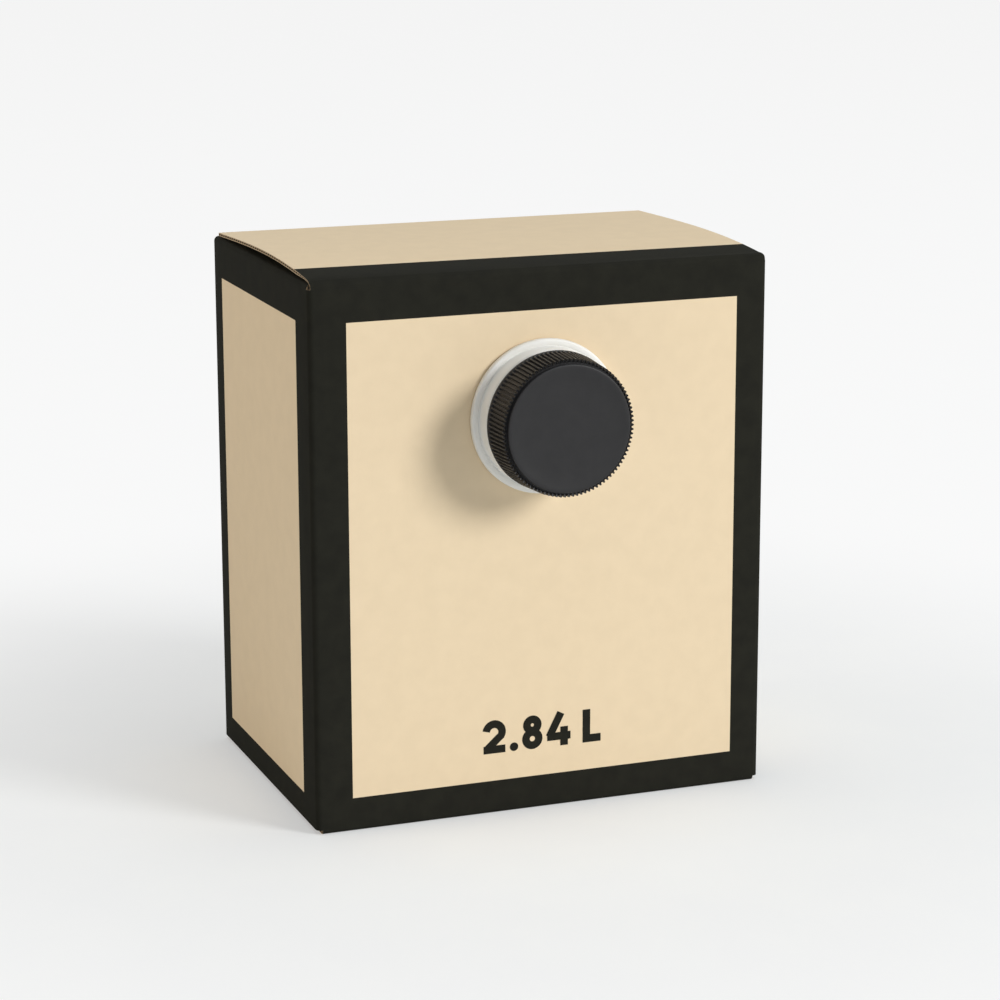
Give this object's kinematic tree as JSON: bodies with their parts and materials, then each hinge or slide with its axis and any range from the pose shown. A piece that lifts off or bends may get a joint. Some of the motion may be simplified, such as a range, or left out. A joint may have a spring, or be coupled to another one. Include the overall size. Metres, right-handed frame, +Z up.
{
  "type": "coffee box",
  "caption": "Folded board carton with a bowed tuck-in lid, a filled inner bag, and a moulded front spout with a ribbed screw cap, for carrying and pouring hot coffee.",
  "frame": {"origin": "middle of the underside of the carton", "axes": "+Z up, the front panel with the spout faces -Y, +X to the right seen from the front"},
  "size_m": [0.16, 0.1352, 0.1865],
  "materials": {
    "printed_board": "fine corrugated board, cream print with broad black borders, matt varnish",
    "bag_film": "metallised film",
    "white_plastic": "satin moulded white",
    "black_plastic": "fine satin moulded charcoal",
    "seal_foam": "foamed sealing disc"
  },
  "bodies": {
    "root": {"carton": "printed_board", "inner_bag": "bag_film", "spout": "white_plastic"},
    "lid": {"lid": "printed_board"},
    "cap_travel": {"cap_disc": "seal_foam"},
    "cap": {"cap": "black_plastic"}
  },
  "joints": [
    {"name": "lid_hinge", "type": "hinge", "parent": "root", "child": "lid", "pos_m": [0, -0.0552, 0.1836], "axis": [1, 0, 0], "range_deg": [0, 150]},
    {"name": "cap_lift", "type": "slide", "parent": "root", "child": "cap_travel", "axis": [0, -1, 0], "range_m": [0, 0.01051]},
    {"name": "cap_turn", "type": "hinge", "parent": "cap_travel", "child": "cap", "pos_m": [0, -0.056, 0.1356], "axis": [0, -1, 0], "range_deg": [0, 945]}
  ],
  "couplings": [
    {"joint": "cap_lift", "follows": "cap_turn", "m_per_rad": 0.00063662}
  ]
}
